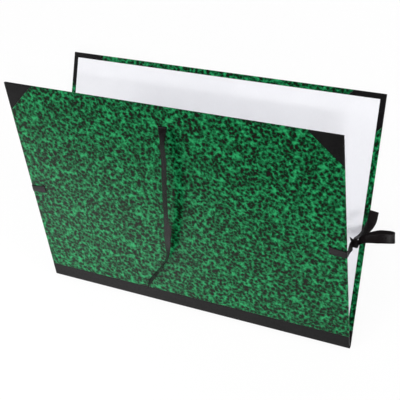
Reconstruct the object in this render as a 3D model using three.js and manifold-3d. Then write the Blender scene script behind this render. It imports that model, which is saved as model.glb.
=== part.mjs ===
// Half-cloth art portfolio, 37 x 52 cm: two boards in marbled paper, joined by a cloth spine.
// Four cloth corners, white liners, six ribbons through slits; the two side pairs are tied in bows.
// It lies on its back cover, with the front cover raised as far as the tied ribbons allow.
//
// Each cover is modelled lying flat in its own frame: u along the spine, v from the hinge to the
// fore-edge, w from the outer face (0) to the inner face. The front cover is the same cover turned
// over about the hinge and then opened. Lengths are in millimetres.

import * as THREE from 'three';
import { mergeVertices } from 'three/addons/utils/BufferGeometryUtils.js';
import Module from 'manifold-3d';

const wasm = await Module();
wasm.setup();

// Covers
const coverWidth = 520; // along the spine
const coverHeight = 370; // from the spine to the fore-edge
const boardThickness = 2;
const paperThickness = 0.3; // marbled paper, book cloth and liner alike
const glueGap = 0.3; // between glued layers
const openAngle = THREE.MathUtils.degToRad(28); // how far the tied ribbons let the covers open
const closedGap = 1.6; // between the two liners when shut

// Cloth and paper
const jointInset = 1.5; // from the hinge axis to the board's spine edge
const spineStrip = 20; // spine cloth on each outer face
const cornerLeg = 47; // cloth corner along each edge
const turnIn = 15; // folded over onto the inner face
const linerMargin = 6; // from the cover's edges to the liner
const linerSpineMargin = 5;
const innerClothLeg = 14; // inner spine cloth on each board

// Ribbons
const ribbonWidth = 14;
const ribbonThickness = 0.3;
const slitLength = 16;
const slitOpening = 1.6;
const sideSlitInset = 25; // from the left and right edges
const topSlitInset = 31.5; // from the fore-edge
const sideSlitDrop = 5; // below the middle of the cover, towards the spine
const stubLength = 24; // glued down under the liner
const flatStart = 2; // lies flat beyond the slit before it goes its own way
const frontEdgeDrop = 1; // a side ribbon slips towards the spine on its way to the edge
const backEdgeDrop = 5;
const bendRadius = 0.6; // where a ribbon turns through a slit or round an edge

// Bows, as distances from the covers' left and right edges
const rightKnotAngle = THREE.MathUtils.degToRad(22.4); // above the back cover
const leftKnotAngle = THREE.MathUtils.degToRad(10);
const knotNear = 2; // the knot's near and far sides
const knotFar = 7;
const knotOutset = 2; // the knot lies past the slits, towards the fore-edge
const knotWidth = 6; // the ribbon pinched inside the knot
const knotBandWidth = 5; // the ribbon wrapped over the knot
const loopSpread = 19; // where the loop opens to nearly its full width
const loopMiddle = 33;
const loopEnd = 42;
const loopLength = 54.4; // the loop's tip
const loopDroop = 16.5; // the tip hangs this much lower than the knot
const tailReach = 26; // the back ribbon's cut end, past its slit towards the fore-edge

// Layers, as heights above the outer face
const boardBottom = paperThickness + glueGap;
const boardTop = boardBottom + boardThickness;
const foldBottom = boardTop + glueGap;
const foldTop = foldBottom + paperThickness;
const linerBottom = foldTop + glueGap;
const coverThickness = linerBottom + paperThickness;
const hingeHeight = coverThickness + closedGap / 2;
const stubHeight = (boardTop + linerBottom) / 2;
const ribbonHeight = -glueGap - ribbonThickness / 2; // ribbon lying on the outer face
const ribbonOutset = glueGap + ribbonThickness / 2; // ribbon lying on the cover's edge

const halfWidth = coverWidth / 2;
const foreEdge = jointInset + coverHeight;
const middle = jointInset + coverHeight / 2;
const sideSlit = middle - sideSlitDrop;
const topSlit = foreEdge - topSlitInset;
const knotRadius = sideSlit + knotOutset;
const originFromHinge = jointInset + spineStrip / 2;
const overlap = 1; // how far a cutting body runs past what it cuts

const finishes = {
  greyboard: { color: 0x8f8c86, roughness: 0.95 },
  marbledPaper: { color: 0x0f5a30, roughness: 0.42 },
  bookCloth: { color: 0x232021, roughness: 0.85 },
  liner: { color: 0xefeff2, roughness: 0.75 },
  ribbon: { color: 0x1f1c1d, roughness: 0.4 },
};

// Placing

const openHinge = new THREE.Matrix4()
  .makeTranslation(0, 0, hingeHeight)
  .multiply(new THREE.Matrix4().makeRotationX(openAngle));
const frontPlacement = openHinge
  .clone()
  .multiply(new THREE.Matrix4().makeRotationY(Math.PI))
  .multiply(new THREE.Matrix4().makeTranslation(0, 0, -hingeHeight));
const backPlacement = new THREE.Matrix4();

// A point of a cover given by its place seen from the outside of the model: x is not turned over.
function onCover(placement, x, v, w) {
  const u = placement === frontPlacement ? -x : x;
  return new THREE.Vector3(u, v, w).applyMatrix4(placement);
}

function directionOnCover(placement, x, v, w) {
  const u = placement === frontPlacement ? -x : x;
  return new THREE.Vector3(u, v, w).transformDirection(placement);
}

// A point beside the covers: r from the hinge axis, angle up from the back cover.
function aboutHinge(x, r, angle) {
  return new THREE.Vector3(x, r * Math.cos(angle), hingeHeight + r * Math.sin(angle));
}

// Solids

function toSolid(geometry) {
  const bare = geometry.clone();
  bare.deleteAttribute('normal');
  bare.deleteAttribute('uv');
  const merged = mergeVertices(bare, 1e-5);
  return new wasm.Manifold(
    new wasm.Mesh({
      numProp: 3,
      vertProperties: new Float32Array(merged.attributes.position.array),
      triVerts: new Uint32Array(merged.index.array),
    }),
  );
}

function toGeometry(solid) {
  const mesh = solid.getMesh();
  const geometry = new THREE.BufferGeometry();
  geometry.setAttribute('position', new THREE.BufferAttribute(mesh.vertProperties, 3));
  geometry.setIndex(new THREE.BufferAttribute(mesh.triVerts, 1));
  geometry.computeVertexNormals();
  return geometry;
}

function block(u0, u1, v0, v1, w0, w1) {
  const box = new THREE.BoxGeometry(u1 - u0, v1 - v0, w1 - w0);
  return toSolid(box.translate((u0 + u1) / 2, (v0 + v1) / 2, (w0 + w1) / 2));
}

function prism(outline, w0, w1) {
  const shape = new THREE.Shape(outline.map(([u, v]) => new THREE.Vector2(u, v)));
  const body = new THREE.ExtrudeGeometry(shape, { depth: w1 - w0, bevelEnabled: false });
  return toSolid(body.translate(0, 0, w0));
}

// Strips of cloth and ribbon: a flat section swept along stations, each with a place, the
// direction across the strip and the strip's width there.

function station(at, across, width, slant = 0) {
  return { at, across, width, slant };
}

function between(a, b, share) {
  return station(
    a.at.clone().lerp(b.at, share),
    a.across.clone().lerp(b.across, share).normalize(),
    THREE.MathUtils.lerp(a.width, b.width, share),
  );
}

// Rounds each inner corner of a path of stations with a short curve.
function roundCorners(stations, radius, steps = 4) {
  const rounded = [stations[0]];
  for (let i = 1; i < stations.length - 1; i += 1) {
    const [before, corner, after] = stations.slice(i - 1, i + 2);
    const back = Math.min(radius / before.at.distanceTo(corner.at), 0.5);
    const forth = Math.min(radius / after.at.distanceTo(corner.at), 0.5);
    const enter = between(corner, before, back);
    const leave = between(corner, after, forth);
    for (let s = 0; s <= steps; s += 1) {
      const first = between(enter, corner, s / steps);
      const second = between(corner, leave, s / steps);
      rounded.push(between(first, second, s / steps));
    }
  }
  rounded.push(stations[stations.length - 1]);
  return rounded;
}

// Threads a smooth curve through hand-placed stations.
function smooth(stations, steps) {
  const curve = new THREE.CatmullRomCurve3(stations.map((s) => s.at), false, 'centripetal');
  const spans = stations.length - 1;
  const smoothed = [];
  for (let i = 0; i <= spans * steps; i += 1) {
    const span = Math.min(Math.floor(i / steps), spans - 1);
    const near = between(stations[span], stations[span + 1], i / steps - span);
    const slant = i === spans * steps ? stations[spans].slant : 0;
    smoothed.push(station(curve.getPoint(i / (spans * steps)), near.across, near.width, slant));
  }
  return smoothed;
}

function strip(stations, thickness) {
  const positions = [];
  const index = [];
  const last = stations.length - 1;
  stations.forEach((here, i) => {
    const before = stations[Math.max(i - 1, 0)].at;
    const after = stations[Math.min(i + 1, last)].at;
    const along = after.clone().sub(before).normalize();
    const across = here.across.clone().addScaledVector(along, -here.across.dot(along)).normalize();
    const normal = along.clone().cross(across);
    for (const [a, n] of [[1, 1], [-1, 1], [-1, -1], [1, -1]]) {
      const corner = here.at.clone()
        .addScaledVector(across, (a * here.width) / 2)
        .addScaledVector(normal, (n * thickness) / 2)
        .addScaledVector(along, (a * here.width * here.slant) / 2);
      positions.push(corner.x, corner.y, corner.z);
    }
    if (i < last) {
      for (let k = 0; k < 4; k += 1) {
        const a = 4 * i + k;
        const b = 4 * i + ((k + 1) % 4);
        // Both faces split along the same diagonal, so a twisted strip keeps its thickness.
        index.push(...(k < 2 ? [a, b, b + 4, a, b + 4, a + 4] : [a, b, a + 4, b, b + 4, a + 4]));
      }
    }
  });
  const end = 4 * last;
  index.push(0, 2, 1, 0, 3, 2, end, end + 1, end + 2, end, end + 2, end + 3);
  const geometry = new THREE.BufferGeometry();
  geometry.setAttribute('position', new THREE.Float32BufferAttribute(positions, 3));
  geometry.setIndex(index);
  geometry.computeVertexNormals();
  return geometry;
}

// Cover pieces, in the cover's own frame

// The slits, one for each ribbon, through whatever lies between w0 and w1.
function slits(w0, w1) {
  const long = slitLength / 2;
  const short = slitOpening / 2;
  const side = halfWidth - sideSlitInset;
  return block(-long, long, topSlit - short, topSlit + short, w0, w1)
    .add(block(side - short, side + short, sideSlit - long, sideSlit + long, w0, w1))
    .add(block(-side - short, -side + short, sideSlit - long, sideSlit + long, w0, w1));
}

function makeBoard() {
  const inset = paperThickness + glueGap;
  return block(-halfWidth + inset, halfWidth - inset, jointInset, foreEdge - inset, boardBottom, boardTop)
    .subtract(slits(boardBottom - overlap, boardTop + overlap));
}

// The whole covering as if it were one sheet: outer skin, edges and the folded-in frame.
function makeCovering() {
  const skin = paperThickness;
  const spineEnd = jointInset - overlap;
  const outside = block(-halfWidth, halfWidth, jointInset, foreEdge, 0, foldTop);
  const boardSpace = block(-halfWidth + skin, halfWidth - skin, spineEnd, foreEdge - skin, skin, foldBottom);
  const window = block(
    -halfWidth + turnIn, halfWidth - turnIn, spineEnd, foreEdge - turnIn, foldBottom - overlap, foldTop + overlap,
  );
  return outside.subtract(boardSpace).subtract(window).subtract(slits(-overlap, skin + overlap));
}

// The room of one cloth corner. Its slanting cut runs on past the edge, so on the folded-in
// frame it slants the other way.
function cornerRoom(side, margin) {
  const leg = cornerLeg + margin;
  const beyond = overlap;
  const fold = turnIn + overlap;
  const place = ([a, b]) => [side * (halfWidth - a), foreEdge - b];
  const half = coverThickness / 2;
  const outer = [[-beyond, -beyond], [leg + beyond, -beyond], [-beyond, leg + beyond]];
  const inner = [
    [-beyond, -beyond], [leg, -beyond], [leg, 0], [leg + fold, fold], [fold, leg + fold], [0, leg], [-beyond, leg],
  ];
  return prism(outer.map(place), -overlap, half).add(prism(inner.map(place), half, foldTop + overlap));
}

function spineRoom(margin) {
  return block(
    -halfWidth - overlap, halfWidth + overlap,
    jointInset - overlap, jointInset + spineStrip + margin, -overlap, foldTop + overlap,
  );
}

function makeCorner(side) {
  return makeCovering().intersect(cornerRoom(side, 0));
}

function makeMarbledPaper() {
  return makeCovering()
    .subtract(spineRoom(glueGap))
    .subtract(cornerRoom(1, glueGap))
    .subtract(cornerRoom(-1, glueGap));
}

function makeLiner() {
  return block(
    -halfWidth + linerMargin, halfWidth - linerMargin,
    jointInset + linerSpineMargin, foreEdge - linerMargin, linerBottom, coverThickness,
  );
}

// Cloth at the hinge

// A cloth band round the hinge axis, with a leg of the given path on each cover.
function hingeBand(leg, radius, startAngle, width, arcSteps) {
  const across = new THREE.Vector3(1, 0, 0);
  const sweep = Math.PI - openAngle + 2 * startAngle;
  const path = leg.map(([v, w]) => onCover(backPlacement, 0, v, w));
  for (let i = 0; i <= arcSteps; i += 1) {
    path.push(aboutHinge(0, radius, startAngle - Math.PI / 2 - (sweep * i) / arcSteps));
  }
  path.push(...leg.map(([v, w]) => onCover(frontPlacement, 0, v, w)).reverse());
  return path.map((at) => station(at, across, width));
}

function makeSpineCloth() {
  const onBoard = makeCovering().intersect(spineRoom(0));
  const bandCentre = paperThickness / 2;
  const band = strip(
    hingeBand([[jointInset + overlap, bandCentre]], hingeHeight - bandCentre, 0, coverWidth, 12),
    paperThickness,
  );
  return toSolid(band).add(onBoard).add(onBoard.transform(frontPlacement.elements));
}

function makeInnerSpineCloth() {
  const radius = hingeHeight - paperThickness * 1.5 - glueGap;
  const drop = jointInset - glueGap - paperThickness / 2;
  const level = foldBottom + paperThickness / 2;
  const leg = [[jointInset + innerClothLeg, level], [drop, level]];
  const width = coverWidth - 2 * (turnIn + glueGap);
  return strip(hingeBand(leg, radius, Math.asin(drop / radius), width, 14), paperThickness);
}

// Ribbons

// The glued end under the liner and the way out through the slit. The path is in steps along the
// direction "out" from the slit, so a side ribbon and a top ribbon share it.
function throughSlit(placement, slitAt, out, across, outside) {
  const place = (e, w) => onCover(placement, slitAt[0] + out[0] * e, slitAt[1] + out[1] * e, w);
  const side = directionOnCover(placement, across[0], across[1], 0);
  return [
    station(place(-stubLength, stubHeight), side, ribbonWidth),
    station(place(0, stubHeight), side, ribbonWidth),
    station(place(0, ribbonHeight), side, ribbonWidth),
    ...outside(place, side),
  ];
}

// A side ribbon from its glued end to the edge of the cover, where it turns towards the other cover.
function sideRibbonOnCover(placement, side, edgeDrop) {
  const slitAt = [side * (halfWidth - sideSlitInset), sideSlit];
  const toEdge = sideSlitInset + ribbonOutset;
  const path = throughSlit(placement, slitAt, [side, 0], [0, 1], (place, across) => {
    const drop = directionOnCover(placement, 0, 1, 0).multiplyScalar(-edgeDrop);
    return [
      station(place(toEdge, ribbonHeight).add(drop), across, ribbonWidth),
      station(place(toEdge, coverThickness / 2).add(drop), across, ribbonWidth),
    ];
  });
  return roundCorners(path, bendRadius);
}

// The front ribbon of a tied pair: over the edge, into the knot, out along the upper layer of the
// loop, back along the lower one and out of the knot as a short slanting end.
function makeFrontTiedRibbon(side, knotAngle) {
  const radial = (angle) => new THREE.Vector3(0, Math.cos(angle), Math.sin(angle));
  const at = (distance, outset, rise, width, slant) => {
    const sag = (loopDroop * Math.max(distance - knotNear, 0)) / (loopLength - knotNear);
    const angle = knotAngle + (rise - sag) / knotRadius;
    const x = side * (halfWidth + distance);
    return station(aboutHinge(x, knotRadius + outset, angle), radial(angle), width, slant);
  };
  const onCoverPart = sideRibbonOnCover(frontPlacement, side, frontEdgeDrop);
  const arrival = (openAngle - knotAngle) * knotRadius;
  const free = smooth([
    onCoverPart[onCoverPart.length - 1],
    at(0.8, -2.6, arrival * 0.55, 9),
    at(1, -1.6, 4, knotWidth + 1.5),
    at(knotNear, 0, 0.8, knotWidth),
    at(knotFar, 2, 0.8, knotWidth),
    at(13, 7.5, 1.5, 8.5),
    at(loopSpread, 12, 2.4, 11),
    at(loopMiddle, 15.2, 3.4, ribbonWidth),
    at(loopEnd, 16.6, 3, ribbonWidth),
    at(loopLength - 5, 15.6, 2.6, ribbonWidth),
    at(loopLength - 0.8, 13.6, 1.6, ribbonWidth),
    at(loopLength, 13, 0, ribbonWidth),
    at(loopLength - 0.8, 12, -1.6, ribbonWidth),
    at(loopLength - 6, 10, -2.6, ribbonWidth),
    at(loopEnd, 8.6, -3, ribbonWidth),
    at(loopMiddle, 8.6, -3.4, ribbonWidth),
    at(loopSpread, 8.5, -2.4, 11.5),
    at(13, 6, -1.5, 8),
    at(knotFar, 1, -0.6, knotWidth),
    at(knotNear, 0, -0.6, knotWidth),
    at(0.5, 1, -1.2, 7.5),
    at(-1.8, 1.5, -2.4, 8, 0.45),
  ], 4);
  return strip([...onCoverPart, ...free.slice(1)], ribbonThickness);
}

// The back ribbon of a tied pair: up from the edge with a quarter twist, over the knot, and down
// again to a free end that spreads out beside the back cover.
function makeBackTiedRibbon(side, knotAngle) {
  const x = (distance) => side * (halfWidth + distance);
  const acrossAt = (twist) => new THREE.Vector3(side * Math.sin(twist), Math.cos(twist), 0);
  const knot = aboutHinge(x((knotNear + knotFar) / 2), knotRadius, knotAngle);
  const quarter = Math.PI / 2;
  const overKnot = (dr, rise) => {
    const radial = new THREE.Vector3(0, Math.cos(knotAngle), Math.sin(knotAngle));
    const up = new THREE.Vector3(0, -Math.sin(knotAngle), Math.cos(knotAngle));
    const at = knot.clone().addScaledVector(radial, dr).addScaledVector(up, rise);
    return station(at, acrossAt(quarter), knotBandWidth);
  };
  // Beside the covers, at a share of the knot's angle.
  const beside = (distance, outset, share, twist, width, slant) => (
    station(aboutHinge(x(distance), knotRadius + outset, knotAngle * share), acrossAt(twist), width, slant)
  );
  const onCoverPart = sideRibbonOnCover(backPlacement, side, backEdgeDrop);
  const free = smooth([
    onCoverPart[onCoverPart.length - 1],
    beside(1.6, -6.6, 0.12, 0.1, 13.5),
    beside(2.4, -6.2, 0.45, 0.35, 12),
    beside(3.4, -5.8, 0.78, 0.9, 9),
    overKnot(-5.4, -1.5),
    overKnot(-4.6, 1.7),
    overKnot(0, 3),
    overKnot(6.2, 1.7),
    overKnot(7.2, -1.5),
    beside(7, 4, 0.72, quarter, 10),
    beside(8.4, 6, 0.45, quarter, 13),
    beside(8.8, 11, 0.26, quarter, ribbonWidth),
    beside(9, tailReach - knotOutset, 0.13, quarter, ribbonWidth, side * 0.25),
  ], 4);
  return strip([...onCoverPart, ...free.slice(1)], ribbonThickness);
}

// The front top ribbon runs loose down the cover, arching off it and coming down to its cut end. Each
// step gives its sideways drift, its distance below the slit, how far its near edge stands off the
// cover, and its twist in degrees.
function makeFrontTopRibbon() {
  const drift = [
    [0.3, 4, 0.3, 4], [2.1, 18.4, 6, 34], [3, 46.2, 11, 29], [0.3, 77.8, 14, 31], [-4.3, 130.6, 16, 34],
    [-6.5, 148.3, 15.5, 29], [-9.2, 169.8, 14, 11], [-13.1, 189, 12, 18], [-18.5, 216.1, 8, 33],
    [-21.4, 230, 6, 52], [-29.4, 245.9, 4, 76], [-44.4, 269.4, 1.5, 73], [-55.4, 284.2, 0.5, 66],
    [-70.9, 306, 0, 62],
  ];
  const places = drift.map(([du, dv]) => new THREE.Vector2(du, topSlit - dv));
  const loose = drift.map(([du, dv, standOff, twistDegrees], i) => {
    const before = places[Math.max(i - 1, 0)];
    const after = places[Math.min(i + 1, places.length - 1)];
    const along = after.clone().sub(before).normalize();
    const twist = THREE.MathUtils.degToRad(twistDegrees);
    const lift = standOff + ribbonOutset + (ribbonWidth / 2) * Math.sin(twist);
    const flat = Math.cos(twist);
    const across = directionOnCover(frontPlacement, -along.y * flat, along.x * flat, -Math.sin(twist));
    const slant = i === drift.length - 1 ? 0.6 : 0;
    return station(onCover(frontPlacement, du, topSlit - dv, -lift), across, ribbonWidth, slant);
  });
  const start = throughSlit(frontPlacement, [0, topSlit], [0, -1], [1, 0], (place, across) => [
    station(place(flatStart, ribbonHeight), across, ribbonWidth),
  ]);
  start[0].at.copy(onCover(frontPlacement, 0, topSlit - stubLength, stubHeight));
  const round = roundCorners(start, bendRadius);
  return strip([...round, ...smooth(loose, 4)], ribbonThickness);
}

// The back top ribbon is pressed flat under the back cover.
function makeBackTopRibbon() {
  const drift = [[0, 6], [-3, 40], [-12, 110], [-26, 190], [-38, 255]];
  const across = new THREE.Vector3(1, 0, 0);
  const loose = drift.map(([du, dv]) => (
    station(onCover(backPlacement, du, topSlit - dv, ribbonHeight), across, ribbonWidth)
  ));
  const start = throughSlit(backPlacement, [0, topSlit], [0, -1], [1, 0], (place, side) => [
    station(place(flatStart, ribbonHeight), side, ribbonWidth),
  ]);
  start[0].at.copy(onCover(backPlacement, 0, topSlit - stubLength, stubHeight));
  return strip([...roundCorners(start, bendRadius), ...smooth(loose, 3)], ribbonThickness);
}

// Assembly

function mesh(name, geometry, finish) {
  const material = new THREE.MeshStandardMaterial({ ...finish, metalness: 0 });
  const piece = new THREE.Mesh(geometry, material);
  piece.name = name;
  return piece;
}

// One cover's own pieces. Left and right are those of the whole folder, seen with its spine towards
// the viewer, so a cover's two corners swap names when the cover is turned over.
function makeCover(name, placement) {
  const side = placement === frontPlacement ? -1 : 1;
  const cover = new THREE.Group();
  cover.applyMatrix4(placement);
  cover.add(
    mesh(`${name}_board`, toGeometry(makeBoard()), finishes.greyboard),
    mesh(`${name}_marbled_paper`, toGeometry(makeMarbledPaper()), finishes.marbledPaper),
    mesh(`${name}_left_corner`, toGeometry(makeCorner(-side)), finishes.bookCloth),
    mesh(`${name}_right_corner`, toGeometry(makeCorner(side)), finishes.bookCloth),
    mesh(`${name}_liner`, toGeometry(makeLiner()), finishes.liner),
  );
  return cover;
}

// It lies on its back cover, and the origin is the middle of the spine cloth's strip on that face.
const portfolio = new THREE.Group();
portfolio.position.set(0, -originFromHinge, 0);
portfolio.add(
  makeCover('back', backPlacement),
  makeCover('front', frontPlacement),
  mesh('spine_cloth', toGeometry(makeSpineCloth()), finishes.bookCloth),
  mesh('inner_spine_cloth', makeInnerSpineCloth(), finishes.bookCloth),
  mesh('front_top_ribbon', makeFrontTopRibbon(), finishes.ribbon),
  mesh('back_top_ribbon', makeBackTopRibbon(), finishes.ribbon),
  mesh('front_right_ribbon', makeFrontTiedRibbon(1, rightKnotAngle), finishes.ribbon),
  mesh('back_right_ribbon', makeBackTiedRibbon(1, rightKnotAngle), finishes.ribbon),
  mesh('front_left_ribbon', makeFrontTiedRibbon(-1, leftKnotAngle), finishes.ribbon),
  mesh('back_left_ribbon', makeBackTiedRibbon(-1, leftKnotAngle), finishes.ribbon),
);

export default portfolio;
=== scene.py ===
import math
from collections import namedtuple

import bmesh
import bpy
from mathutils import Matrix, Vector


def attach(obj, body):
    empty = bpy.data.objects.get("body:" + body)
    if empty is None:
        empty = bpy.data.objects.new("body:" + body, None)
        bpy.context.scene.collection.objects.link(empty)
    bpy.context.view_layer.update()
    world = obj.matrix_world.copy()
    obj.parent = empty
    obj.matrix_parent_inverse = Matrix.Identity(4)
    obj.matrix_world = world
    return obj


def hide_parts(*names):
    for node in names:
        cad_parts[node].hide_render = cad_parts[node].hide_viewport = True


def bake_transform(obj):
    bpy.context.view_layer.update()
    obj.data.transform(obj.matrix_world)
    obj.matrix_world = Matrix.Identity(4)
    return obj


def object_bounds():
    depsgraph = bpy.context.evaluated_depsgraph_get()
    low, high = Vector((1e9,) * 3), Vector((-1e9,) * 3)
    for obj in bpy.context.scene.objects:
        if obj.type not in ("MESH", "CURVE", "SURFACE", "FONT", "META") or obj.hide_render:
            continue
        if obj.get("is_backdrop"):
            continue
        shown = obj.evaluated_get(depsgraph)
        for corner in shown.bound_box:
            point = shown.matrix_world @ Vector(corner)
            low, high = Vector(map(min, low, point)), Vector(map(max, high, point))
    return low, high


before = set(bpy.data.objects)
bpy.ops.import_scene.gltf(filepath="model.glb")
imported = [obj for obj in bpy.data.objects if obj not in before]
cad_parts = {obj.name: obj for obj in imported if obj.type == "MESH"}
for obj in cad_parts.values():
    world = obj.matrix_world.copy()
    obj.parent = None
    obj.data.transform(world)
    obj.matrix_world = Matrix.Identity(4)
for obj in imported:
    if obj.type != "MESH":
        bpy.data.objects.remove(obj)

# Art portfolio. Sizes are in millimetres, as in the solids, and MM takes them to metres.
# A cover's own frame has x along the spine, v from the hinge to the fore-edge and w inwards from
# the cover's outer face.

MM = 0.001

# Covers

COVER_WIDTH = 520
COVER_HEIGHT = 370
OPEN_ANGLE = math.radians(28)
JOINT_INSET = 1.5
SPINE_STRIP = 20
GLUE_GAP = 0.3
COVER_THICKNESS = 3.8
FOLD_TOP = 3.2
RIM_RADIUS = 0.45
LINER_MARGIN = 8
HINGE_HEIGHT = 4.6
HALF_WIDTH = COVER_WIDTH / 2
FORE_EDGE = JOINT_INSET + COVER_HEIGHT
MIDDLE = JOINT_INSET + COVER_HEIGHT / 2
ORIGIN_FROM_HINGE = JOINT_INSET + SPINE_STRIP / 2

# Ribbons and their slits

RIBBON_WIDTH = 14
RIBBON_THICKNESS = 0.3
RIBBON_HOLLOW = 0.25
SELVEDGE_THINNESS = 0.55
SIDE_SLIT_INSET = 25
TOP_SLIT_INSET = 31.5
SIDE_SLIT_BELOW_MIDDLE = 5
SIDE_SLIT = MIDDLE - SIDE_SLIT_BELOW_MIDDLE
TOP_SLIT = FORE_EDGE - TOP_SLIT_INSET
STUB_LENGTH = 24
STUB_HEIGHT = 3.05
RIB_PITCH = 0.6
FLAT_START = 2
TOP_END_SLANT = 0.6
FRONT_EDGE_DROP = 2.2
FRONT_EDGE_WIDTH = 11.5
BACK_EDGE_DROP = 5
BEND_RADIUS = 0.6
RIBBON_HEIGHT = -GLUE_GAP - RIBBON_THICKNESS / 2
RIBBON_OUTSET = -RIBBON_HEIGHT

# Bows, and an angle at the hinge for their slack; finish_ribbon computes a point from it and drops it,
# so nothing moves with the front cover

RIGHT_KNOT_ANGLE = math.radians(22.4)
LEFT_KNOT_ANGLE = math.radians(10)
SLACK_FROM = math.radians(8)
KNOT_NEAR = 1.6
KNOT_FAR = 8
KNOT_OUTSET = 2
KNOT_WIDTH = 8.6
KNOT_BAND_WIDTH = 6.4
LOOP_SPREAD = 19
LOOP_MIDDLE = 33
LOOP_END = 42
LOOP_LENGTH = 54.4
LOOP_DROOP = 16.5
LOOP_TWIST = 30
LOOP_LEAN = 0.2
TAIL_REACH = 26
KNOT_RADIUS = SIDE_SLIT + KNOT_OUTSET

# Marbling: the blots' size, how far they are shaken, and the size and weight of each finer noise

BLOT = 5.8
SHAKE = 6
MARBLING = ((3.9, 1.15), (22, 0.3), (1.7, 0.6))

# Floor: how far it lies under the lowest ribbon

FLOOR_GAP = 0.2

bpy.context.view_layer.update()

# Places

HINGE = Matrix.Translation((0, -ORIGIN_FROM_HINGE, HINGE_HEIGHT))
BACK = Matrix.Translation((0, -ORIGIN_FROM_HINGE, 0))
FRONT = (
    HINGE
    @ Matrix.Rotation(OPEN_ANGLE, 4, "X")
    @ Matrix.Rotation(math.pi, 4, "Y")
    @ Matrix.Translation((0, 0, -HINGE_HEIGHT))
)


def on_cover(placement, x, v, w):
    """A point of a cover; x is as seen from outside the model, so it isn't turned over."""
    return placement @ Vector((-x if placement is FRONT else x, v, w))


def direction_on_cover(placement, x, v, w):
    return (placement.to_3x3() @ Vector((-x if placement is FRONT else x, v, w))).normalized()


def about_hinge(x, r, angle):
    """A point beside the covers: r from the hinge axis, angle up from the back cover."""
    return HINGE @ Vector((x, r * math.cos(angle), r * math.sin(angle)))


# Pieces

def mesh_from(bm, name):
    mesh = bpy.data.meshes.new(name)
    bm.to_mesh(mesh)
    bm.free()
    return mesh


def add_piece(name, mesh, material):
    """A new piece with the mesh, in the material alone."""
    mesh.materials.clear()
    mesh.materials.append(material)
    piece = bpy.data.objects.new(name, mesh)
    bpy.context.collection.objects.link(piece)
    return piece


# Ribbon shapes. A station is a place on a ribbon's middle line, with the direction and the width across
# the ribbon there, and the slant of a cut end.

Station = namedtuple("Station", "at across width slant", defaults=(0,))


def between(a, b, share):
    return Station(
        a.at.lerp(b.at, share),
        a.across.lerp(b.across, share).normalized(),
        a.width + (b.width - a.width) * share,
    )


def round_corners(stations, radius, steps=6):
    rounded = [stations[0]]
    for before, corner, after in zip(stations, stations[1:], stations[2:]):
        enter = between(corner, before, min(radius / (before.at - corner.at).length, 0.5))
        leave = between(corner, after, min(radius / (after.at - corner.at).length, 0.5))
        for s in range(steps + 1):
            share = s / steps
            rounded.append(between(between(enter, corner, share), between(corner, leave, share), share))
    rounded.append(stations[-1])
    return rounded


def curve_point(points, place):
    """A point on the centripetal Catmull-Rom curve through the points; place counts in spans."""
    i = min(int(place), len(points) - 2)
    share = place - i
    p1, p2 = points[i], points[i + 1]
    p0 = points[i - 1] if i > 0 else p1 * 2 - p2
    p3 = points[i + 2] if i + 2 < len(points) else p2 * 2 - p1
    d0, d1, d2 = (math.sqrt((b - a).length) for a, b in ((p0, p1), (p1, p2), (p2, p3)))
    t1 = ((p1 - p0) / d0 - (p2 - p0) / (d0 + d1) + (p2 - p1) / d1) * d1
    t2 = ((p2 - p1) / d1 - (p3 - p1) / (d1 + d2) + (p3 - p2) / d2) * d1
    return (
        p1
        + t1 * share
        + (p2 * 3 - p1 * 3 - t1 * 2 - t2) * share**2
        + (p1 * 2 - p2 * 2 + t1 + t2) * share**3
    )


def smooth(stations, steps=10):
    points = [s.at for s in stations]
    spans = len(stations) - 1
    smoothed = []
    for i in range(spans * steps + 1):
        span = min(i // steps, spans - 1)
        near = between(stations[span], stations[span + 1], i / steps - span)
        slant = stations[-1].slant if i == spans * steps else 0
        smoothed.append(Station(curve_point(points, i / steps), near.across, near.width, slant))
    return smoothed


def ribbon_rows(bm, here, along, columns):
    """The vertices across the ribbon at a station: a row on its upper face and one on its under face."""
    normal = along.cross(here.across).normalized()
    rows = []
    for face in (1, -1):
        row = []
        for c in range(columns + 1):
            a = 2 * c / columns - 1
            hollow = RIBBON_HOLLOW * here.width / RIBBON_WIDTH * (a * a - 1 / 3)
            thin = RIBBON_THICKNESS / 2 * (SELVEDGE_THINNESS if c in (0, columns) else 1)
            at = (
                here.at
                + here.across * (a * here.width / 2)
                + normal * (face * thin + hollow)
                + along * (a * here.width * here.slant / 2)
            )
            row.append(bm.verts.new(at * MM))
        rows.append(row)
    return rows


def join_ribbon_rows(bm, rows, columns):
    """Faces on both sides, on the two long edges and on the two ends."""
    for (top, under), (next_top, next_under) in zip(rows, rows[1:]):
        for c in range(columns):
            bm.faces.new((top[c], top[c + 1], next_top[c + 1], next_top[c]))
            bm.faces.new((under[c + 1], under[c], next_under[c], next_under[c + 1]))
        bm.faces.new((top[columns], under[columns], next_under[columns], next_top[columns]))
        bm.faces.new((under[0], top[0], next_top[0], next_under[0]))
    for (top, under), flip in ((rows[0], False), (rows[-1], True)):
        for c in range(columns):
            quad = (top[c + 1], top[c], under[c], under[c + 1])
            bm.faces.new(reversed(quad) if flip else quad)


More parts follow.
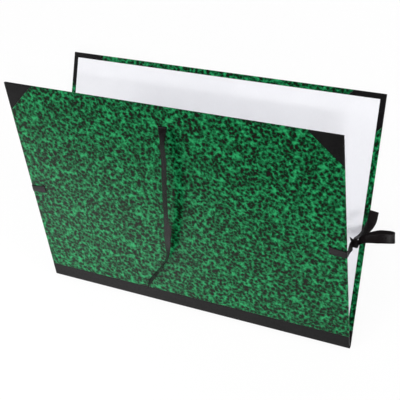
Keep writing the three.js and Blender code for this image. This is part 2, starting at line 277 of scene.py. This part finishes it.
def make_ribbon(name, stations, columns=8):
    """A closed ribbon along the stations, a little hollow across, with a map of its own in metres."""
    bm = bmesh.new()
    uv = bm.loops.layers.uv.new("UVMap")
    last = len(stations) - 1
    rows, place, length = [], {}, 0
    for i, here in enumerate(stations):
        before, after = stations[max(i - 1, 0)], stations[min(i + 1, last)]
        length += (here.at - before.at).length
        rows.append(ribbon_rows(bm, here, (after.at - before.at).normalized(), columns))
        for row in rows[-1]:
            for c, vert in enumerate(row):
                place[vert] = (c / columns * RIBBON_WIDTH * MM, length * MM)
    join_ribbon_rows(bm, rows, columns)
    for face in bm.faces:
        face.smooth = True
        for loop in face.loops:
            loop[uv].uv = place[loop.vert]
    bmesh.ops.recalc_face_normals(bm, faces=bm.faces)
    return add_piece(name, mesh_from(bm, name), RIBBON), length


def through_slit(placement, slit_at, out, across, outside, stub=-STUB_LENGTH):
    """The glued end under the liner and the way out through the slit, then what outside() adds."""
    def place(e, w):
        return on_cover(placement, slit_at[0] + out[0] * e, slit_at[1] + out[1] * e, w)

    side = direction_on_cover(placement, across[0], across[1], 0)
    return [
        Station(place(stub, STUB_HEIGHT), side, RIBBON_WIDTH),
        Station(place(0, STUB_HEIGHT), side, RIBBON_WIDTH),
        Station(place(0, RIBBON_HEIGHT), side, RIBBON_WIDTH),
        *outside(place, side),
    ]


def side_ribbon_on_cover(placement, side, edge_drop, edge_width):
    slit_at = (side * (HALF_WIDTH - SIDE_SLIT_INSET), SIDE_SLIT)
    to_edge = SIDE_SLIT_INSET + RIBBON_OUTSET

    def outside(place, across):
        drop = direction_on_cover(placement, 0, 1, 0) * -edge_drop
        return [
            Station(place(to_edge, RIBBON_HEIGHT) + drop, across, edge_width),
            Station(place(to_edge, COVER_THICKNESS / 2) + drop, across, edge_width),
        ]

    return round_corners(through_slit(placement, slit_at, (side, 0), (0, 1), outside), BEND_RADIUS)


def front_tied_stations(side, knot_angle):
    """Over the edge, into the knot, out along the loop and back, and out of the knot as a short end."""
    def at(distance, outset, rise, width, twist=0, lean=0, slant=0):
        sag = LOOP_DROOP * max(distance - KNOT_NEAR, 0) / (LOOP_LENGTH - KNOT_NEAR)
        angle = knot_angle + (rise - sag) / KNOT_RADIUS
        turned = angle - math.radians(twist)
        across = Vector((-side * lean, math.cos(turned), math.sin(turned))).normalized()
        place = about_hinge(side * (HALF_WIDTH + distance), KNOT_RADIUS + outset, angle)
        return Station(place, across, width, slant)

    def loop_at(distance, outset, rise, width=RIBBON_WIDTH):
        return at(distance, outset, rise, width, LOOP_TWIST, LOOP_LEAN)

    on_cover_part = side_ribbon_on_cover(FRONT, side, FRONT_EDGE_DROP, FRONT_EDGE_WIDTH)
    arrival = (OPEN_ANGLE - knot_angle) * KNOT_RADIUS
    free = smooth([
        on_cover_part[-1],
        at(0.6, -1.4, arrival * 0.7, 12, 18, 0.2),
        at(0.9, -1, arrival * 0.4, 13, 30, 0.3),
        at(1.2, -1.4, 4.2, 12, 20, 0.3),
        at(KNOT_NEAR, -0.4, 0.8, KNOT_WIDTH),
        at(KNOT_FAR, 2, 0.8, KNOT_WIDTH),
        loop_at(10.5, 4.8, 1.2, 10.5),
        loop_at(13, 6.8, 1.7, 10.5),
        loop_at(LOOP_SPREAD, 9.8, 3, 11.5),
        loop_at(LOOP_MIDDLE, 11.9, 4.4),
        loop_at(LOOP_END, 12, 4.2),
        loop_at(LOOP_LENGTH - 5, 11.6, 3.4),
        loop_at(LOOP_LENGTH - 1, 11, 1.8),
        loop_at(LOOP_LENGTH, 10.9, 0),
        loop_at(LOOP_LENGTH - 1, 11, -1.8),
        loop_at(LOOP_LENGTH - 5, 11.4, -3.4),
        loop_at(LOOP_END, 11.7, -4.2),
        loop_at(LOOP_MIDDLE, 11.5, -4.4),
        loop_at(LOOP_SPREAD, 8.8, -3, 11.5),
        loop_at(13, 5.2, -1.6, 9),
        at(KNOT_FAR, 0.6, -0.8, KNOT_WIDTH),
        at(KNOT_NEAR, 0, -0.8, KNOT_WIDTH),
        at(0.5, 1, -1.4, 9),
        at(-2.8, 1.6, -2.6, 10, slant=0.45),
    ])
    return on_cover_part + free[1:]


def back_tied_stations(side, knot_angle):
    """Up from the edge with a quarter twist, over the knot, and down again to a spreading end."""
    def x(distance):
        return side * (HALF_WIDTH + distance)

    def across_at(twist):
        return Vector((side * math.sin(twist), math.cos(twist), 0))

    quarter = math.pi / 2
    radial = Vector((0, math.cos(knot_angle), math.sin(knot_angle)))
    up = Vector((0, -math.sin(knot_angle), math.cos(knot_angle)))
    knot = about_hinge(x((KNOT_NEAR + KNOT_FAR) / 2), KNOT_RADIUS, knot_angle)

    def over_knot(dr, rise):
        return Station(knot + radial * dr + up * rise, across_at(quarter), KNOT_BAND_WIDTH)

    def beside(distance, outset, share, twist, width, slant=0):
        place = about_hinge(x(distance), KNOT_RADIUS + outset, knot_angle * share)
        return Station(place, across_at(twist), width, slant)

    on_cover_part = side_ribbon_on_cover(BACK, side, BACK_EDGE_DROP, RIBBON_WIDTH)
    free = smooth([
        on_cover_part[-1],
        beside(1.6, -6.6, 0.12, 0.1, 13.5),
        beside(2.4, -6.2, 0.45, 0.35, 12),
        beside(3.4, -5.8, 0.78, 0.9, 9),
        over_knot(-6.2, -1.5),
        over_knot(-5.6, 1.8),
        over_knot(0, 3.2),
        over_knot(6.6, 1.8),
        over_knot(7.4, -1.5),
        beside(8, 4, 0.72, quarter, 10),
        beside(10, 6.5, 0.45, quarter, 13.5),
        beside(10.2, 12, 0.26, quarter, RIBBON_WIDTH),
        beside(9.2, TAIL_REACH - KNOT_OUTSET, 0.13, quarter, RIBBON_WIDTH, -0.12),
    ])
    return on_cover_part + free[1:]


def top_start(placement):
    """Through the top slit: the glued end points at the spine, as the ribbon does outside."""
    def outside(place, across):
        return [Station(place(FLAT_START, RIBBON_HEIGHT), across, RIBBON_WIDTH)]

    start = through_slit(placement, (0, TOP_SLIT), (0, -1), (1, 0), outside, STUB_LENGTH)
    return round_corners(start, BEND_RADIUS)


def front_top_stations():
    """Down the cover in a loose arch, ending on the paper near the spine."""
    # Each row: sideways, below the slit, off the cover at the nearer edge, and the twist in degrees.
    drift = [
        (0.3, 4, 0.3, 4), (2.1, 18.4, 6, 34), (3, 46.2, 11, 29), (0.3, 77.8, 14, 31),
        (-4.3, 130.6, 16, 34), (-6.5, 148.3, 15.5, 29), (-9.2, 169.8, 14, 11), (-13.1, 189, 12, 18),
        (-18.5, 216.1, 8, 33), (-21.4, 230, 6, 52), (-29.4, 245.9, 4, 76), (-44.4, 269.4, 1.5, 73),
        (-55.4, 284.2, 0.5, 66), (-70.9, 306, 0, 62),
    ]
    places = [Vector((du, TOP_SLIT - dv)) for du, dv, _, _ in drift]
    loose = []
    for i, (du, dv, stand_off, degrees) in enumerate(drift):
        along = (places[min(i + 1, len(places) - 1)] - places[max(i - 1, 0)]).normalized()
        twist = math.radians(degrees)
        lift = stand_off + RIBBON_OUTSET + RIBBON_WIDTH / 2 * math.sin(twist)
        across = direction_on_cover(
            FRONT, -along.y * math.cos(twist), along.x * math.cos(twist), -math.sin(twist)
        )
        slant = TOP_END_SLANT if i == len(drift) - 1 else 0
        loose.append(Station(on_cover(FRONT, du, TOP_SLIT - dv, -lift), across, RIBBON_WIDTH, slant))
    return top_start(FRONT) + smooth(loose)


def back_top_stations():
    """Pressed flat between the cover and what the portfolio lies on."""
    loose = [
        Station(on_cover(BACK, du, TOP_SLIT - dv, RIBBON_HEIGHT), Vector((1, 0, 0)), RIBBON_WIDTH)
        for du, dv in ((0, 6), (-3, 40), (-12, 110), (-26, 190), (-38, 255))
    ]
    return top_start(BACK) + smooth(loose)


# Materials

class Shader:
    """A node material; the sockets of Principled BSDF are its surface."""

    def __init__(self, name):
        self.material = bpy.data.materials.new(name)
        self.material.use_nodes = True
        self.tree = self.material.node_tree
        self.surface = self.tree.nodes["Principled BSDF"]

    def node(self, kind, inputs=None, output=0, **settings):
        node = self.tree.nodes.new("ShaderNode" + kind)
        for key, value in settings.items():
            setattr(node, key, value)
        self.feed(node, inputs or {})
        return node.outputs[output]

    def feed(self, node, inputs):
        for key, value in inputs.items():
            if isinstance(value, bpy.types.NodeSocket):
                self.tree.links.new(value, node.inputs[key])
            else:
                node.inputs[key].default_value = value

    def math(self, operation, a, b=0.0, c=0.0):
        return self.node("Math", {0: a, 1: b, 2: c}, operation=operation)

    def vector(self, operation, a, b=(0, 0, 0), scale=1.0):
        return self.node("VectorMath", {0: a, 1: b, 3: scale}, operation=operation)

    def noise(self, at, size, detail=2.0, roughness=0.5, output=0):
        """Noise whose features are about size millimetres."""
        inputs = {"Vector": at, "Scale": 1 / (size * MM), "Detail": detail, "Roughness": roughness}
        return self.node("TexNoise", inputs, output)

    def ramp(self, value, stops):
        node = self.tree.nodes.new("ShaderNodeValToRGB")
        elements = node.color_ramp.elements
        while len(elements) < len(stops):
            elements.new(0.5)
        for element, (place, color) in zip(elements, stops):
            element.position = place
            element.color = (*color, 1)
        self.feed(node, {"Fac": value})
        return node.outputs["Color"]

    def bump(self, height, distance, strength=1.0):
        normal = self.node("Bump", {"Height": height, "Distance": distance * MM, "Strength": strength})
        self.feed(self.surface, {"Normal": normal})

    def surface_is(self, **inputs):
        self.feed(self.surface, {key.replace("_", " "): value for key, value in inputs.items()})


def object_place(shader):
    return shader.node("TexCoord", output=3)


def map_place(shader):
    return shader.node("TexCoord", output=2)


def marbled_material():
    """Green veins round black and brown-black blots, a few millimetres wide."""
    s = Shader("marbled_paper")
    at = object_place(s)
    shake = s.vector("SUBTRACT", s.noise(at, SHAKE, 2, output=1), (0.5, 0.5, 0.5))
    warped = s.vector("ADD", at, s.vector("SCALE", shake, scale=SHAKE * MM))
    value = s.node("TexVoronoi", {"Vector": warped, "Scale": 1 / (BLOT * MM), "Randomness": 1.0})
    for size, weight in MARBLING:
        value = s.math("ADD", value, s.math("MULTIPLY_ADD", s.noise(warped, size), weight, -weight / 2))
    color = s.ramp(value, [
        (0.10, (0.011, 0.006, 0.005)),
        (0.25, (0.001, 0.006, 0.002)),
        (0.40, (0.002, 0.034, 0.011)),
        (0.56, (0.005, 0.100, 0.032)),
        (0.74, (0.011, 0.190, 0.062)),
        (1.00, (0.022, 0.350, 0.118)),
    ])
    grain = s.noise(at, 0.7, 3)
    s.surface_is(
        Base_Color=color,
        Roughness=s.math("MULTIPLY_ADD", grain, 0.08, 0.22),
        Specular_IOR_Level=0.025,
    )
    s.bump(grain, 0.03)
    return s.material


def cloth_material():
    """Black book cloth: crossed threads filled with size, a little uneven."""
    s = Shader("book_cloth")
    at = object_place(s)
    threads = []
    for stretch in ((0.06, 1, 1), (1, 0.06, 0.06)):
        threads.append(s.noise(s.vector("MULTIPLY", at, stretch), 0.5, 2))
    weave = s.math("MAXIMUM", *threads)
    patches = s.noise(at, 30, 3)
    shade = s.math("ADD", s.math("MULTIPLY", weave, 0.7), s.math("MULTIPLY", patches, 0.3))
    color = s.ramp(shade, [(0.35, (0.004, 0.0038, 0.004)), (0.7, (0.010, 0.0093, 0.0096))])
    s.surface_is(
        Base_Color=color,
        Roughness=s.math("MULTIPLY_ADD", weave, 0.15, 0.2),
        Specular_IOR_Level=0.025,
    )
    s.bump(weave, 0.08)
    return s.material


def liner_material():
    """Smooth white paper with faint fibres."""
    s = Shader("liner_paper")
    at = object_place(s)
    fibres = s.noise(s.vector("MULTIPLY", at, (1, 0.25, 1)), 1.2, 4)
    clouds = s.noise(at, 60, 3)
    shade = s.math("ADD", s.math("MULTIPLY", fibres, 0.4), s.math("MULTIPLY", clouds, 0.6))
    color = s.ramp(shade, [(0.3, (0.82, 0.82, 0.85)), (0.7, (0.87, 0.87, 0.90))])
    s.surface_is(Base_Color=color, Roughness=0.6, Specular_IOR_Level=0.3)
    s.bump(fibres, 0.02)
    return s.material


def board_material():
    """Greyboard: pressed waste paper with flecks."""
    s = Shader("greyboard")
    at = object_place(s)
    fibres = s.noise(at, 1.5, 5, 0.7)
    color = s.ramp(fibres, [(0.3, (0.20, 0.19, 0.17)), (0.7, (0.38, 0.36, 0.33))])
    s.surface_is(Base_Color=color, Roughness=0.95)
    s.bump(fibres, 0.1)
    return s.material


def ribbon_material():
    """Black ribbon: fine cross ribs between two firmer edges."""
    s = Shader("ribbon")
    at = map_place(s)
    x, y, _ = (s.node("SeparateXYZ", {0: at}, i) for i in range(3))
    wander = s.noise(at, 3, 2)
    sway = s.math("MULTIPLY", wander, 2)
    ribs = s.math("SINE", s.math("MULTIPLY_ADD", y, 2 * math.pi / (RIB_PITCH * MM), sway))
    middle = s.math("ABSOLUTE", s.math("MULTIPLY_ADD", x, 2 / (RIBBON_WIDTH * MM), -1.0))
    edge = s.math("GREATER_THAN", middle, 0.9)
    shade = s.math("ADD", s.math("MULTIPLY_ADD", ribs, 0.1, 0.4), s.math("MULTIPLY", wander, 0.3))
    shade = s.math("SUBTRACT", shade, s.math("MULTIPLY", edge, 0.2))
    color = s.ramp(shade, [(0.2, (0.0015, 0.001, 0.001)), (0.8, (0.005, 0.003, 0.0034))])
    s.surface_is(
        Base_Color=color,
        Roughness=0.2,
        Specular_IOR_Level=0.06,
        Sheen_Weight=0.06,
        Sheen_Roughness=0.25,
    )
    s.bump(s.math("ADD", ribs, s.math("MULTIPLY", edge, 2)), 0.03)
    return s.material


MARBLED = marbled_material()
CLOTH = cloth_material()
LINER = liner_material()
BOARD = board_material()
RIBBON = ribbon_material()

# Covers

def wear(node, material):
    """The node keeps its shape and takes the material."""
    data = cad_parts[node].data
    data.materials.clear()
    data.materials.append(material)


def into_cover(placement):
    """From the shared frame to the cover's own frame, both in metres."""
    return Matrix.Scale(MM, 4) @ placement.inverted() @ Matrix.Scale(1 / MM, 4)


def dress(piece, node, body):
    """The piece takes the node's place on the body."""
    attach(piece, body)
    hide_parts(node)


def trimmed_liner(node, placement, body):
    """A copy of the liner with its outer edges further in from the cover's edges."""
    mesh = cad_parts[node].data.copy()
    mesh.transform(into_cover(placement))
    side_limit = (HALF_WIDTH - LINER_MARGIN) * MM
    fore_edge_limit = (FORE_EDGE - LINER_MARGIN) * MM
    for vert in mesh.vertices:
        vert.co.x = max(-side_limit, min(vert.co.x, side_limit))
        vert.co.y = min(vert.co.y, fore_edge_limit)
    mesh.transform(into_cover(placement).inverted())
    dress(add_piece(node + "_sheet", mesh, LINER), node, body)


def rims(bm):
    """The edges along which a wrapped sheet turns from one of the board's faces to the next."""
    near = 0.01 * MM

    def on_face(vert):
        at_side = abs(abs(vert.co.x) - HALF_WIDTH * MM) < near
        at_fore_edge = abs(vert.co.y - FORE_EDGE * MM) < near
        at_face = min(abs(vert.co.z), abs(vert.co.z - FOLD_TOP * MM)) < near
        return at_side, at_fore_edge, at_face

    found = []
    for edge in bm.edges:
        first, second = (on_face(vert) for vert in edge.verts)
        shared = sum(a and b for a, b in zip(first, second))
        if shared >= 2:
            found.append(edge)
    return found


def rounded_copy(node, placement, material, body):
    """A copy of a wrapped sheet, with its rims rounded as it turns over the board."""
    bm = bmesh.new()
    bm.from_mesh(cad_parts[node].data)
    bm.transform(into_cover(placement))
    bmesh.ops.remove_doubles(bm, verts=bm.verts, dist=1e-7)
    bmesh.ops.dissolve_limit(bm, angle_limit=math.radians(1), verts=bm.verts, edges=bm.edges)
    bmesh.ops.bevel(
        bm, geom=rims(bm), offset=RIM_RADIUS * MM, segments=3, profile=0.5, affect="EDGES",
        clamp_overlap=True,
    )
    bm.transform(into_cover(placement).inverted())
    for face in bm.faces:
        face.smooth = False
    name = node + "_skin"
    dress(add_piece(name, mesh_from(bm, name), material), node, body)


for name, placement in (("back", BACK), ("front", FRONT)):
    body = name + "_cover"
    wear(name + "_board", BOARD)
    trimmed_liner(name + "_liner", placement, body)
    rounded_copy(name + "_marbled_paper", placement, MARBLED, body)
    for side in ("left", "right"):
        rounded_copy(f"{name}_{side}_corner", placement, CLOTH, body)


# Cloth at the hinge: a copy fixed in the shared frame, tied to neither cover.

def bending_copy(node):
    """A copy of the cloth, fixed in the shared frame, in the cloth material."""
    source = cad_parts[node]
    mesh = source.data.copy()
    mesh.transform(source.matrix_world)
    piece = add_piece(node + "_bend", mesh, CLOTH)
    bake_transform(piece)
    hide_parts(node)


for node in ("spine_cloth", "inner_spine_cloth"):
    bending_copy(node)


# Ribbons in place

def finish_ribbon(node, stations, body):
    """A ribbon rides on its cover, or, without a body, stays fixed in the shared frame."""
    piece, length = make_ribbon(node + "_band", stations)
    if body:
        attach(piece, body)
    else:
        x = stations[-1].at.x
        about_hinge(x, SIDE_SLIT, SLACK_FROM) * MM
        about_hinge(x, SIDE_SLIT, OPEN_ANGLE) * MM
        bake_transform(piece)
    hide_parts(node)


finish_ribbon("front_top_ribbon", front_top_stations(), "front_cover")
finish_ribbon("back_top_ribbon", back_top_stations(), "back_cover")
for side, sign, angle in (("right", 1, RIGHT_KNOT_ANGLE), ("left", -1, LEFT_KNOT_ANGLE)):
    for cover, tied_stations in (("front", front_tied_stations), ("back", back_tied_stations)):
        stations = tied_stations(sign, angle)
        finish_ribbon(f"{cover}_{side}_ribbon", stations, None)


# Floor, light and camera

def look(obj, target, roll=0.0):
    view = (Vector(target) - obj.location).to_track_quat("-Z", "Y").to_matrix().to_4x4()
    obj.rotation_euler = (view @ Matrix.Rotation(math.radians(roll), 4, "Z")).to_euler()


def background_rays(tree):
    """1 for a ray that shows the background: the camera's own, and those in gloss and glass."""
    path = tree.nodes.new("ShaderNodeLightPath")
    seen = path.outputs["Is Camera Ray"]
    for kind in ("Is Glossy Ray", "Is Transmission Ray"):
        either = tree.nodes.new("ShaderNodeMath")
        either.operation = "MAXIMUM"
        tree.links.new(seen, either.inputs[0])
        tree.links.new(path.outputs[kind], either.inputs[1])
        seen = either.outputs[0]
    return seen


def make_floor(height, size=6, shine_share=0.9):
    """A pale floor: shine_share of what is seen of it is plain white, and the rest takes the shadow."""
    mesh = bpy.data.meshes.new("floor")
    corners = [(x, y, height) for x, y in ((-size, -size), (size, -size), (size, size), (-size, size))]
    mesh.from_pydata(corners, [], [(0, 1, 2, 3)])
    floor = bpy.data.objects.new("floor", mesh)
    bpy.context.collection.objects.link(floor)
    s = Shader("floor")
    s.surface_is(Base_Color=(0.85, 0.85, 0.85, 1), Roughness=1.0)
    shine = s.node("Emission", {"Color": (1, 1, 1, 1), "Strength": 1.0})
    share = s.math("MULTIPLY", background_rays(s.tree), shine_share)
    mixed = s.node("MixShader", {0: share, 1: s.surface.outputs[0], 2: shine})
    s.feed(s.tree.nodes["Material Output"], {"Surface": mixed})
    mesh.materials.append(s.material)
    floor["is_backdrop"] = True


def make_world(fill):
    """White where the background is seen, a soft even light for everything else."""
    world = bpy.data.worlds.new("studio")
    bpy.context.scene.world = world
    world.use_nodes = True
    tree = world.node_tree
    strength = tree.nodes.new("ShaderNodeMapRange")
    tree.links.new(background_rays(tree), strength.inputs["Value"])
    strength.inputs["To Min"].default_value = fill
    strength.inputs["To Max"].default_value = 1.0
    background = tree.nodes["Background"]
    background.inputs["Color"].default_value = (1, 1, 1, 1)
    tree.links.new(strength.outputs[0], background.inputs["Strength"])


def make_softbox(name, place, target, width, height, power):
    data = bpy.data.lights.new(name, "AREA")
    data.shape = "RECTANGLE"
    data.size = width
    data.size_y = height
    data.energy = power
    light = bpy.data.objects.new(name, data)
    light.location = place
    bpy.context.collection.objects.link(light)
    look(light, target)


def make_camera(place, target, roll, lens):
    data = bpy.data.cameras.new("camera")
    data.sensor_width = 36
    data.lens = lens
    camera = bpy.data.objects.new("camera", data)
    camera.location = place
    bpy.context.collection.objects.link(camera)
    look(camera, target, roll)
    bpy.context.scene.camera = camera


make_floor(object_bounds()[0].z - FLOOR_GAP * MM)
make_world(fill=0.5)
make_softbox("key_left", (-1.12, 0.30, 1.30), (-0.1, 0.20, 0.05), 0.25, 0.25, 2.5)
make_softbox("low_left", (-0.72, -0.62, 0.32), (-0.05, 0.09, 0.03), 0.8, 0.31, 5.8)
make_softbox("low_front", (-0.20, -1.02, 0.33), (0.05, 0.09, 0.03), 0.6, 0.31, 3)
make_softbox("above", (0.72, 0.23, 1.50), (0.28, 0.17, 0.06), 0.07, 0.2, 3.5)
make_softbox("right", (2.0, 0.60, 0.70), (0.25, 0.20, 0.02), 0.4, 0.4, 22)
make_softbox("behind", (0.3, 1.95, 1.05), (0.1, 0.25, 0.05), 0.9, 0.9, 12)
make_camera(
    place=(0.58148, 0.44746, 1.27298), target=(0.02733, 0.17629, 0.08), roll=-107.42, lens=82.515
)
bpy.context.scene.view_settings.view_transform = "Standard"
